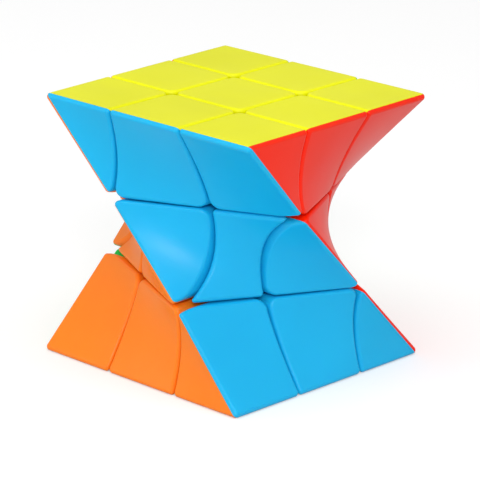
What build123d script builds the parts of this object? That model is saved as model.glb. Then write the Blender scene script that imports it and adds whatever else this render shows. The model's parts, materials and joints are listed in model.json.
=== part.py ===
"""Twisty puzzle cube: a 3x3x3 puzzle whose outside is twisted by a quarter turn from top to bottom.

The origin is the centre of the mechanism. +Z is the yellow side, -Y the front. Millimetres.
At a height z the outside is a square with the corners (-z, -h), (h, -z), (z, h) and (-h, z),
where h is half of CUBE, so its four sides turn by 90 degrees between the bottom and the top.
Every piece outside is one of five shapes, turned about Z and flipped about X.
"""

import os
from math import sqrt

from build123d import *

# driving dimensions
CUBE = 57.0  # width, depth and height
CUT = CUBE / 6  # distance of each turning plane from the centre
GAP = 0.3  # clearance between neighbouring pieces
WAIST = 0.7  # how far the ridges lean in at the turning planes
EDGE_ROUND = 0.8  # rounding round the rim of each piece
CORNER_ROUND = 2.2  # rounding where four pieces meet
THIN_ROUND = 0.8  # the same two roundings on the thin middle edges
WALL = 1.8  # moulded wall
SKIN_WALL = 2.3  # wall behind the slanting sides, measured level
RIM_SHARE = 0.7  # how much of the rounded rim of the flat face has the colour of the side below

# mechanism: feet lie in a hollow ball, parted by a cone round each axis
FEET_OUTER = 18.0  # radius of the ball of feet
FEET_INNER = 13.0
CONE_COS = 0.4226  # cosine of each cone's half angle: feet are wider than the necks above them
NECK_REACH = 1.0  # how far a neck runs into the foot below it and the block above it

# axle stack, measured outwards from the centre
CORE_BALL = 6.5
ARM_RADIUS = 4.0
ARM_END = 9.0
SCREW_RADIUS = 1.5
SCREW_TIP = 3.5
THREAD_CLEAR = 0.02
STEM_RADIUS = 4.0
STEM_START = ARM_END + GAP
STEM_END = 20.0
STEM_BORE = SCREW_RADIUS + 0.08
SHELF = 11.4  # floor of the stem's spring well
WELL_RADIUS = 3.2
SOCKET_CLEAR = 0.05  # between a stem and the cap pressed onto it
SOCKET_RADIUS = 5.4
SOCKET_END = STEM_END + GAP
WIRE = 0.3  # radius of the spring wire
COIL_RADIUS = 2.4
COIL_TURNS = 4
SPRING_CLEAR = 0.1
FLANGE_START = 16.2
FLANGE_RADIUS = 2.9
FLANGE = 0.8
HEAD_RADIUS = 2.4
HEAD = 1.4
CROSS_LENGTH = 2.8
CROSS_WIDTH = 0.6
CROSS_DEPTH = 0.9

HALF = CUBE / 2
CLEAR = GAP / 2
FAR = CUBE  # beyond the outside
CONE_SIN = sqrt(1 - CONE_COS**2)
SIDE_COLOURS = ["blue", "red", "green", "orange"]  # front, right, back, left
AXES = {
    (0, 0, 1): Rotation(0, 0, 0),
    (0, 0, -1): Rotation(180, 0, 0),
    (0, -1, 0): Rotation(90, 0, 0),
    (0, 1, 0): Rotation(-90, 0, 0),
    (1, 0, 0): Rotation(0, 90, 0),
    (-1, 0, 0): Rotation(0, -90, 0),
}


def twisted_layer(low, high, inset=0.0, lid=0.0):
    """The whole outside between two levels, or the space inside a wall of inset and lid."""
    with BuildPart() as layer:
        for z in (low, high - lid):
            reach = HALF if abs(z) > CUT else HALF - WAIST
            shrink = 1 - inset / (sqrt(reach**2 + z**2) / sqrt(2))
            square = [(-z, -reach), (reach, -z), (z, reach), (-reach, z)]
            with BuildSketch(Plane.XY.offset(z)):
                with BuildLine():
                    Polyline(*[(x * shrink, y * shrink) for x, y in square], close=True)
                make_face()
        loft(ruled=True)
    return layer.part


def reach_of(place, wall):
    """The stretch of one axis that a piece takes: place is -1, 0 or 1."""
    if place == 0:
        return -CUT + CLEAR + wall, CUT - CLEAR - wall
    return tuple(sorted((place * (CUT + CLEAR + wall), place * FAR)))


def cell(place, wall=0.0):
    """One cell of the 3x3x3 grid, open to the outside."""
    spans = [reach_of(step, wall) for step in place]
    centre = [(low + high) / 2 for low, high in spans]
    with BuildPart() as box:
        with Locations(tuple(centre)):
            Box(*[high - low for low, high in spans])
    return box.part


def turning_cone(axis, clearance):
    """The cone round an axis, narrowed by the clearance (widened if negative)."""
    tip = clearance / CONE_SIN
    with BuildPart() as cone:
        with BuildSketch(Plane.XZ):
            with BuildLine():
                Polyline(
                    (0, tip),
                    (FAR * CONE_SIN, tip + FAR * CONE_COS),
                    (FAR * CONE_SIN, FAR * 2),
                    (0, FAR * 2),
                    close=True,
                )
            make_face()
        revolve(axis=Axis.Z)
    return AXES[axis] * cone.part


def foot(place, inner, outer):
    """The share of a hollow ball that belongs to the piece at this place."""
    with BuildPart() as share:
        Sphere(outer)
        Sphere(inner, mode=Mode.SUBTRACT)
        for axis in AXES:
            along = sum(a * b for a, b in zip(axis, place))
            if along > 0:
                add(turning_cone(axis, CLEAR), mode=Mode.INTERSECT)
            elif along == 0:
                add(turning_cone(axis, -CLEAR), mode=Mode.SUBTRACT)
    return share.part


def skin_faces(block, layer_top):
    """The faces of a piece that show when the puzzle is solved."""
    skin = block.faces().filter_by(GeomType.BSPLINE)
    if layer_top:
        skin += block.faces().filter_by(Axis.Z).sort_by(Axis.Z)[-1:]
    return skin


def inward_edges(block, skin):
    """The edges that run inwards from the corners of the skin."""
    corners = [Vector(corner) for corner in skin.vertices()]

    def starts_at_corner(edge):
        return any((edge @ end - corner).length < 0.01 for end in (0, 1) for corner in corners)

    def on_skin(edge):
        return any((edge @ 0.5 - other @ 0.5).length < 0.01 for other in skin.edges())

    return block.edges().filter_by(lambda edge: starts_at_corner(edge) and not on_skin(edge))


def outer_block(place, layer, layer_top, rounds):
    """The part of a piece that shows, with its corners and its rim rounded, above the ball of feet."""
    corner_round, edge_round = rounds
    with BuildPart() as block:
        add(layer)
        add(cell(place), mode=Mode.INTERSECT)
        skin = skin_faces(block, layer_top)
        inward = inward_edges(block, skin)
        if corner_round == edge_round:
            fillet(inward + skin.edges(), edge_round)
        else:
            fillet(inward, corner_round)
            fillet(skin_faces(block, layer_top).edges(), edge_round)
        Sphere(FEET_OUTER + CLEAR, mode=Mode.SUBTRACT)
    return block.part


def hollow(place, inner_layer):
    """The space inside the walls of a piece."""
    with BuildPart() as space:
        add(inner_layer)
        add(cell(place, WALL), mode=Mode.INTERSECT)
        Sphere(FEET_OUTER + CLEAR + WALL, mode=Mode.SUBTRACT)
    return space.part


def footed_piece(place, block, space=None):
    """A corner or an edge: the block, a neck and the foot that its neighbours hold down."""
    neck = foot(place, FEET_OUTER - NECK_REACH, FEET_OUTER + NECK_REACH)
    with BuildPart() as piece:
        add(block)
        add(foot(place, FEET_INNER, FEET_OUTER - CLEAR))
        add((neck & cell(place)).solids())
        if space:
            add(space, mode=Mode.SUBTRACT)
    return piece.part


def cap_piece(axis, block, inner_layer):
    """A centre's cap: an open cup with a socket for the stem."""
    with BuildPart() as socket:
        with BuildSketch(Plane.XY.offset(FEET_OUTER + CLEAR)):
            Circle(SOCKET_RADIUS)
        extrude(amount=CUBE)
    with BuildPart() as peg:
        with BuildSketch(Plane.XY.offset(STEM_START)):
            Circle(STEM_RADIUS + SOCKET_CLEAR)
        extrude(amount=SOCKET_END - STEM_START)
    with BuildPart() as space:
        add(inner_layer)
        add(cell(axis, WALL), mode=Mode.INTERSECT)
        add(AXES[axis] * socket.part, mode=Mode.SUBTRACT)
    with BuildPart() as cap:
        add(block)
        add(space.part, mode=Mode.SUBTRACT)
        add(AXES[axis] * peg.part, mode=Mode.SUBTRACT)
    return cap.part


def rim_point(along):
    """Where the flat face meets the colour of the front, this far along its rim from the left end."""
    lean = along / CUBE
    inset = RIM_SHARE * EDGE_ROUND * (lean + sqrt(1 + lean**2))
    return Vector(along - HALF, inset - HALF, HALF)


def parting(first, second, third):
    """The plane through three points that parts two colours."""
    return Plane(first, x_dir=second - first, z_dir=(second - first).cross(third - first))


def shell(piece, *cuts):
    """The share of a piece in one colour: each cut is a plane and the side of it that is kept."""
    with BuildPart() as share:
        add(piece)
        for plane, kept in cuts:
            split(bisect_by=plane, keep=kept)
    return share.part


top_layer = twisted_layer(CUT, HALF)
middle_layer = twisted_layer(-CUT, CUT)
top_inside = twisted_layer(CUT, HALF, SKIN_WALL, WALL)
middle_inside = twisted_layer(-CUT, CUT, SKIN_WALL)

CORNER = (1, -1, 1)
TOP_EDGE = (0, -1, 1)
TOP_CENTRE = (0, 0, 1)
SIDE_CENTRE = (0, -1, 0)
MIDDLE_EDGE = (1, -1, 0)
ROUNDS = (CORNER_ROUND, EDGE_ROUND)

corner = footed_piece(
    CORNER, outer_block(CORNER, top_layer, True, ROUNDS), hollow(CORNER, top_inside)
)
top_edge = footed_piece(
    TOP_EDGE, outer_block(TOP_EDGE, top_layer, True, ROUNDS), hollow(TOP_EDGE, top_inside)
)
top_centre = cap_piece(TOP_CENTRE, outer_block(TOP_CENTRE, top_layer, True, ROUNDS), top_inside)
side_centre = cap_piece(
    SIDE_CENTRE, outer_block(SIDE_CENTRE, middle_layer, False, ROUNDS), middle_inside
)
middle_edge = footed_piece(
    MIDDLE_EDGE, outer_block(MIDDLE_EDGE, middle_layer, False, (THIN_ROUND, THIN_ROUND))
)

# planes that part the colours; each has the flat face, or the right side, on its TOP side
CENTRE = Vector(0, 0, 0)
RIDGE_FOOT = Vector(HALF - WAIST, RIM_SHARE * EDGE_ROUND - CUT, CUT)
CORNER_FRONT = parting(rim_point(HALF + CUT), rim_point(CUBE), RIDGE_FOOT)
CORNER_RIGHT = parting(*[rim_point(along).rotate(Axis.Z, 90) for along in (0, HALF - CUT)], CENTRE)
EDGE_FRONT = parting(rim_point(HALF - CUT), rim_point(HALF + CUT), CENTRE)
CENTRE_RIDGE = Plane(CENTRE, z_dir=(1, 0, 1))

# each shape: its place, its kind, and its shells by side (0 front, 1 right, 3 left, None the flat face)
SHAPES = [
    (CORNER, "corner", [
        (None, shell(corner, (CORNER_FRONT, Keep.TOP), (CORNER_RIGHT, Keep.TOP))),
        (0, shell(corner, (CORNER_FRONT, Keep.BOTTOM))),
        (1, shell(corner, (CORNER_FRONT, Keep.TOP), (CORNER_RIGHT, Keep.BOTTOM))),
    ]),
    (TOP_EDGE, "edge", [
        (None, shell(top_edge, (EDGE_FRONT, Keep.TOP))),
        (0, shell(top_edge, (EDGE_FRONT, Keep.BOTTOM))),
    ]),
    (TOP_CENTRE, "centre", [(None, top_centre)]),
    (SIDE_CENTRE, "centre", [
        (0, shell(side_centre, (CENTRE_RIDGE, Keep.TOP))),
        (3, shell(side_centre, (CENTRE_RIDGE, Keep.BOTTOM))),
    ]),
    (MIDDLE_EDGE, "edge", [(0, middle_edge)]),
]


def place_name(place, kind):
    """A name such as top_front_left_corner."""
    words = []
    if place[2]:
        words.append("top" if place[2] > 0 else "bottom")
    if place[1]:
        words.append("front" if place[1] < 0 else "back")
    if place[0]:
        words.append("right" if place[0] > 0 else "left")
    return "_".join(words + [kind])


def write(part, name):
    """Write one finished piece."""
    part.label = name
    export_step(part, f"parts/{name}.step")


os.makedirs("parts", exist_ok=True)

for home, kind, shells in SHAPES:
    flips = (False, True) if home[2] else (False,)
    quarters = range(4) if (home[0] or home[1]) else range(1)
    for flipped in flips:
        for quarter in quarters:
            x, y, z = home
            if flipped:
                y, z = -y, -z
            for _ in range(quarter):
                x, y = -y, x
            for side, part in shells:
                if side is None:
                    colour = "white" if flipped else "yellow"
                else:
                    shown = (1 - side if flipped else side) + quarter
                    colour = SIDE_COLOURS[shown % 4]
                with BuildPart() as coloured_shell:
                    add(Rotation(0, 0, 90 * quarter) * Rotation(180 if flipped else 0, 0, 0) * part)
                write(coloured_shell.part, f"{place_name((x, y, z), kind)}_{colour}")

# core: a ball with six arms, each bored for its screw
with BuildPart() as core:
    Sphere(CORE_BALL)
    for turn in AXES.values():
        with BuildSketch(turn * Plane.XY):
            Circle(ARM_RADIUS)
        extrude(amount=ARM_END)
    for turn in AXES.values():
        with BuildSketch((turn * Plane.XY).offset(SCREW_TIP - GAP)):
            Circle(SCREW_RADIUS + THREAD_CLEAR)
        extrude(amount=ARM_END, mode=Mode.SUBTRACT)
write(core.part, "core_spider")

# stem: a tube with a spring well, standing on the centre's own foot
with BuildPart() as stem:
    add(foot(TOP_CENTRE, FEET_INNER, FEET_OUTER - CLEAR))
    with BuildSketch(Plane.XY.offset(STEM_START)):
        Circle(STEM_RADIUS)
    extrude(amount=STEM_END - STEM_START)
    with BuildSketch(Plane.XY.offset(STEM_START)):
        Circle(STEM_BORE)
    extrude(amount=STEM_END - STEM_START, mode=Mode.SUBTRACT)
    with BuildSketch(Plane.XY.offset(SHELF)):
        Circle(WELL_RADIUS)
    extrude(amount=STEM_END - SHELF, mode=Mode.SUBTRACT)

# axle screw: threaded shank, flanged head and a cross recess
with BuildPart() as screw:
    with BuildSketch(Plane.XY.offset(SCREW_TIP)):
        Circle(SCREW_RADIUS)
    extrude(amount=FLANGE_START - SCREW_TIP)
    chamfer(screw.faces().sort_by(Axis.Z)[0].edges(), SCREW_RADIUS / 3)
    with BuildSketch(Plane.XY.offset(FLANGE_START)):
        Circle(FLANGE_RADIUS)
    extrude(amount=FLANGE)
    with BuildSketch(Plane.XY.offset(FLANGE_START + FLANGE)):
        Circle(HEAD_RADIUS)
    extrude(amount=HEAD)
    fillet(screw.faces().sort_by(Axis.Z)[-1].edges(), HEAD / 3)
    with BuildSketch(Plane.XY.offset(FLANGE_START + FLANGE + HEAD - CROSS_DEPTH)):
        Rectangle(CROSS_LENGTH, CROSS_WIDTH)
        Rectangle(CROSS_WIDTH, CROSS_LENGTH)
    extrude(amount=HEAD, mode=Mode.SUBTRACT)

# spring: from just above the shelf to just under the flange
spring_low = SHELF + SPRING_CLEAR + WIRE
spring_rise = FLANGE_START - SPRING_CLEAR - WIRE - spring_low
with BuildPart() as spring:
    with BuildLine(Plane.XY.offset(spring_low)) as coil:
        Helix(pitch=spring_rise / COIL_TURNS, height=spring_rise, radius=COIL_RADIUS)
    with BuildSketch(Plane(origin=coil.line @ 0, z_dir=coil.line % 0)):
        Circle(WIRE)
    sweep(is_frenet=True)

with BuildPart() as axle_screws:
    add([turn * screw.part for turn in AXES.values()])
write(axle_screws.part, "axle_screws")

with BuildPart() as springs:
    add([turn * spring.part for turn in AXES.values()])
write(springs.part, "springs")

with BuildPart() as side_centre_stems:
    add([turn * stem.part for axis, turn in AXES.items() if axis[2] == 0])
write(side_centre_stems.part, "side_centre_stems")

for axis, name in ((TOP_CENTRE, "top_centre_stem"), ((0, 0, -1), "bottom_centre_stem")):
    with BuildPart() as end_stem:
        add(AXES[axis] * stem.part)
    write(end_stem.part, name)
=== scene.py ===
"""Twisty puzzle cube: finishes, floor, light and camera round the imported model."""

import json
import math

import bpy
from mathutils import Matrix, Vector


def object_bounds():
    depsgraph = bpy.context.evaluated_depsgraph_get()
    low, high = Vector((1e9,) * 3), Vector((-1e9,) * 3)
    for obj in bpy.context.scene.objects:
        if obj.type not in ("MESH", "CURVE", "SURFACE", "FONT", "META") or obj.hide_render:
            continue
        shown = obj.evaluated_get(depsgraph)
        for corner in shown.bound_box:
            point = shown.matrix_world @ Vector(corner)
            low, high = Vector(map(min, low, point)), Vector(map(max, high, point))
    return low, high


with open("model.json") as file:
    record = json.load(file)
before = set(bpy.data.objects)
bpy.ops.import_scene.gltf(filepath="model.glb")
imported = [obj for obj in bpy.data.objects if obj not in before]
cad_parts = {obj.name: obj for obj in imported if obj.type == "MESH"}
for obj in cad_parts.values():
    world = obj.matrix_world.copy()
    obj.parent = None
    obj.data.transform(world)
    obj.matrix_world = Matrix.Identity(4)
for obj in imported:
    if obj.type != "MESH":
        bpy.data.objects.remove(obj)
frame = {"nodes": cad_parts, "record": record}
cad_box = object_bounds()

# linear colour of each moulded plastic, and its roughness where it is cleanest
PLASTICS = {
    "yellow": ((0.81, 0.815, 0.001), 0.34),
    "white": ((0.86, 0.86, 0.84), 0.30),
    "blue": ((0.008, 0.445, 0.78), 0.285),
    "red": ((0.98, 0.020, 0.001), 0.285),
    "green": ((0.012, 0.56, 0.075), 0.29),
    "orange": ((1.00, 0.23, 0.012), 0.29),
    "core_plastic": ((0.82, 0.82, 0.78), 0.45),
    "stem_plastic": ((0.62, 0.62, 0.60), 0.42),
}
# the same for each metal, where its grain is smoothest
METALS = {
    "screw_steel": ((0.60, 0.60, 0.59), 0.30),
    "spring_steel": ((0.52, 0.52, 0.53), 0.24),
}

# finishes; sizes and heights are in metres
NOISE_LOW = 0.2  # smooth noise lies mostly between these two values
NOISE_HIGH = 0.8
ABS_IOR = 1.53
SHEEN = 0.2  # specular level of the plastic, 0.5 being the full one for its index
SHADE_SIZE = 0.03
SHADE_DEPTH = 0.05  # how far the moulded colour drifts across a piece
PEEL_SIZE = 0.0009  # from one ripple of the moulded surface to the next
PEEL_HEIGHT = 0.0000035
SMUDGE_SIZE = 0.011
SMUDGE_DEPTH = 0.06  # how much rougher a smudged place is
GLOW_WEIGHT = 0.25  # light that spreads inside the plastic before it comes out
GLOW_REACH = 0.0012
GLOW_LEAST = 0.05  # added to each colour channel's share of that reach
STAIN_SIZE = 0.002
STAIN_DEPTH = 0.12  # how far the shade of the metal drifts
GRAIN_SIZE = 0.0002
GRAIN_DEPTH = 0.12  # how much rougher the metal is where its grain is roughest

# floor, in metres
FLOOR_HALF = 2.0
FLOOR_BELOW = 0.00005  # keeps the floor off the flat underside
FLOOR_SHADE = 0.72
FLOOR_SHADE_SIZE = 0.2
FLOOR_SHADE_DEPTH = 0.01
FLOOR_ROUGHNESS = 0.85
FLOOR_SHEEN = 0.1
FLOOR_GLOW = 0.32

# room, and the soft lights in it
ROOM_FRONT = 0.80
ROOM_BEHIND = 0.45
ROOM_FADE = 0.7  # the brightness stops changing beyond this cosine, either way
# azimuth and elevation in degrees, distance and size in metres, power in watts
LIGHTS = {
    "overhead": (20, 75, 0.9, 0.9, 3.3),
    "window": (43, 31, 0.8, 0.18, 1.7),
    "fill": (-35, 15, 0.9, 0.5, 0.8),
}

# camera; distance and aim in metres, lens in millimetres
AZIMUTH = math.radians(42.0)
ELEVATION = math.radians(18.2)
ROLL = math.radians(1.2)
DISTANCE = 0.671
LENS = 240.2
AIM_RIGHT = 0.00126
AIM_UP = -0.00335


def direction(azimuth, elevation):
    """The unit vector from the middle of the object towards these angles, in radians."""
    level = math.cos(elevation)
    return Vector((math.sin(azimuth) * level, -math.cos(azimuth) * level, math.sin(elevation)))


def new_material(name):
    """An empty node material, its tree, its shader and its object coordinates."""
    material = bpy.data.materials.new(name)
    material.use_nodes = True
    tree = material.node_tree
    shader = tree.nodes["Principled BSDF"]
    place = tree.nodes.new("ShaderNodeTexCoord").outputs["Object"]
    return material, tree, shader, place


def noise(tree, place, size, detail=3.0):
    """Smooth noise whose features are about size metres across."""
    node = tree.nodes.new("ShaderNodeTexNoise")
    node.inputs["Scale"].default_value = 1.0 / size
    node.inputs["Detail"].default_value = detail
    tree.links.new(place, node.inputs["Vector"])
    return node.outputs["Fac"]


def spread(tree, value, low, high):
    """Noise stretched to run from low to high."""
    node = tree.nodes.new("ShaderNodeMapRange")
    node.interpolation_type = "SMOOTHSTEP"
    node.inputs["From Min"].default_value = NOISE_LOW
    node.inputs["From Max"].default_value = NOISE_HIGH
    node.inputs["To Min"].default_value = low
    node.inputs["To Max"].default_value = high
    tree.links.new(value, node.inputs["Value"])
    return node.outputs["Result"]


def bump(tree, shader, height, depth):
    """Surface relief of a given depth in metres."""
    node = tree.nodes.new("ShaderNodeBump")
    node.inputs["Strength"].default_value = 1.0
    node.inputs["Distance"].default_value = depth
    tree.links.new(height, node.inputs["Height"])
    tree.links.new(node.outputs["Normal"], shader.inputs["Normal"])


def tint(tree, shader, amount, colour, depth):
    """The base colour, a little lighter and darker from place to place."""
    mix = tree.nodes.new("ShaderNodeMix")
    mix.data_type = "RGBA"
    dark = [channel * (1 - depth) for channel in colour]
    light = [min(1.0, channel * (1 + depth)) for channel in colour]
    mix.inputs["A"].default_value = (*dark, 1)
    mix.inputs["B"].default_value = (*light, 1)
    tree.links.new(amount, mix.inputs["Factor"])
    tree.links.new(mix.outputs["Result"], shader.inputs["Base Color"])


def moulded_plastic(name, colour, roughness):
    """Coloured-through ABS: satin gloss, faint ripple, faint smudges from handling."""
    material, tree, shader, place = new_material(name)
    shader.inputs["IOR"].default_value = ABS_IOR
    shader.inputs["Specular IOR Level"].default_value = SHEEN
    shader.inputs["Subsurface Weight"].default_value = GLOW_WEIGHT
    shader.inputs["Subsurface Scale"].default_value = GLOW_REACH
    shader.inputs["Subsurface Radius"].default_value = [GLOW_LEAST + channel for channel in colour]
    drift = spread(tree, noise(tree, place, SHADE_SIZE, detail=2.0), 0.0, 1.0)
    tint(tree, shader, drift, colour, SHADE_DEPTH)
    smudge = noise(tree, place, SMUDGE_SIZE)
    worn = spread(tree, smudge, roughness, roughness + SMUDGE_DEPTH)
    tree.links.new(worn, shader.inputs["Roughness"])
    bump(tree, shader, noise(tree, place, PEEL_SIZE, detail=2.0), PEEL_HEIGHT)
    return material


def plated_metal(name, colour, roughness):
    """Steel with a fine grain."""
    material, tree, shader, place = new_material(name)
    shader.inputs["Metallic"].default_value = 1.0
    stain = spread(tree, noise(tree, place, STAIN_SIZE), 0.0, 1.0)
    tint(tree, shader, stain, colour, STAIN_DEPTH)
    grain = spread(tree, noise(tree, place, GRAIN_SIZE), roughness, roughness + GRAIN_DEPTH)
    tree.links.new(grain, shader.inputs["Roughness"])
    return material


def finish_pieces():
    """Gives every piece the material of its slot in the record."""
    materials = {}
    for slot, (colour, roughness) in PLASTICS.items():
        materials[slot] = moulded_plastic(slot, colour, roughness)
    for slot, (colour, roughness) in METALS.items():
        materials[slot] = plated_metal(slot, colour, roughness)
    slot_of = {entry["node"]: entry["material_slot"] for entry in frame["record"]["subparts"]}
    for name, piece in frame["nodes"].items():
        piece.data.materials.clear()
        piece.data.materials.append(materials[slot_of[name]])


def seen_glow(tree):
    """A faint glow that only the camera sees, so that the floor is white without flooding the object."""
    seen = tree.nodes.new("ShaderNodeLightPath").outputs["Is Camera Ray"]
    node = tree.nodes.new("ShaderNodeMath")
    node.operation = "MULTIPLY"
    node.inputs[1].default_value = FLOOR_GLOW
    tree.links.new(seen, node.inputs[0])
    return node.outputs["Value"]


def floor():
    """A pale floor just under the puzzle."""
    level = cad_box[0][2] - FLOOR_BELOW
    mesh = bpy.data.meshes.new("floor")
    corners = [(-1, -1), (1, -1), (1, 1), (-1, 1)]
    mesh.from_pydata([(x * FLOOR_HALF, y * FLOOR_HALF, level) for x, y in corners], [], [(0, 1, 2, 3)])
    plane = bpy.data.objects.new("floor", mesh)
    bpy.context.scene.collection.objects.link(plane)
    material, tree, shader, place = new_material("floor")
    shader.inputs["Roughness"].default_value = FLOOR_ROUGHNESS
    shader.inputs["Specular IOR Level"].default_value = FLOOR_SHEEN
    shader.inputs["Emission Color"].default_value = (1, 1, 1, 1)
    tree.links.new(seen_glow(tree), shader.inputs["Emission Strength"])
    tint(tree, shader, noise(tree, place, FLOOR_SHADE_SIZE), (FLOOR_SHADE,) * 3, FLOOR_SHADE_DEPTH)
    mesh.materials.append(material)


def surroundings():
    """A pale room, dimmer behind the object so that faces seen at a shallow angle keep their colour."""
    world = bpy.data.worlds.new("room")
    world.use_nodes = True
    tree = world.node_tree
    place = tree.nodes.new("ShaderNodeTexCoord").outputs["Generated"]
    towards = tree.nodes.new("ShaderNodeVectorMath")
    towards.operation = "DOT_PRODUCT"
    towards.inputs[1].default_value = direction(AZIMUTH, 0)
    tree.links.new(place, towards.inputs[0])
    strength = tree.nodes.new("ShaderNodeMapRange")
    strength.inputs["From Min"].default_value = -ROOM_FADE
    strength.inputs["From Max"].default_value = ROOM_FADE
    strength.inputs["To Min"].default_value = ROOM_BEHIND
    strength.inputs["To Max"].default_value = ROOM_FRONT
    tree.links.new(towards.outputs["Value"], strength.inputs["Value"])
    tree.links.new(strength.outputs["Result"], tree.nodes["Background"].inputs["Strength"])
    tree.nodes["Background"].inputs["Color"].default_value = (1, 1, 1, 1)
    bpy.context.scene.world = world


def area_light(name, azimuth, elevation, distance, size, power):
    """A soft square light, aimed at the middle of the object."""
    data = bpy.data.lights.new(name, "AREA")
    data.shape = "SQUARE"
    data.size = size
    data.energy = power
    lamp = bpy.data.objects.new(name, data)
    back = direction(math.radians(azimuth), math.radians(elevation))
    lamp.location = back * distance
    lamp.rotation_mode = "QUATERNION"
    lamp.rotation_quaternion = (-back).to_track_quat("-Z", "Y")
    bpy.context.scene.collection.objects.link(lamp)


def camera():
    """The camera: turned round the object, raised, then aimed a little off its middle."""
    data = bpy.data.cameras.new("camera")
    data.lens = LENS
    view = bpy.data.objects.new("camera", data)
    back = direction(AZIMUTH, ELEVATION)
    turned = (-back).to_track_quat("-Z", "Y").to_matrix()
    turned = turned @ Matrix.Rotation(ROLL, 3, "Z")
    right, up = turned.col[0], turned.col[1]
    view.rotation_mode = "QUATERNION"
    view.rotation_quaternion = turned.to_quaternion()
    view.location = back * DISTANCE + right * AIM_RIGHT + up * AIM_UP
    bpy.context.scene.collection.objects.link(view)
    bpy.context.scene.camera = view
    bpy.context.scene.view_settings.view_transform = "Standard"


finish_pieces()
floor()
surroundings()
for light, settings in LIGHTS.items():
    area_light(light, *settings)
camera()
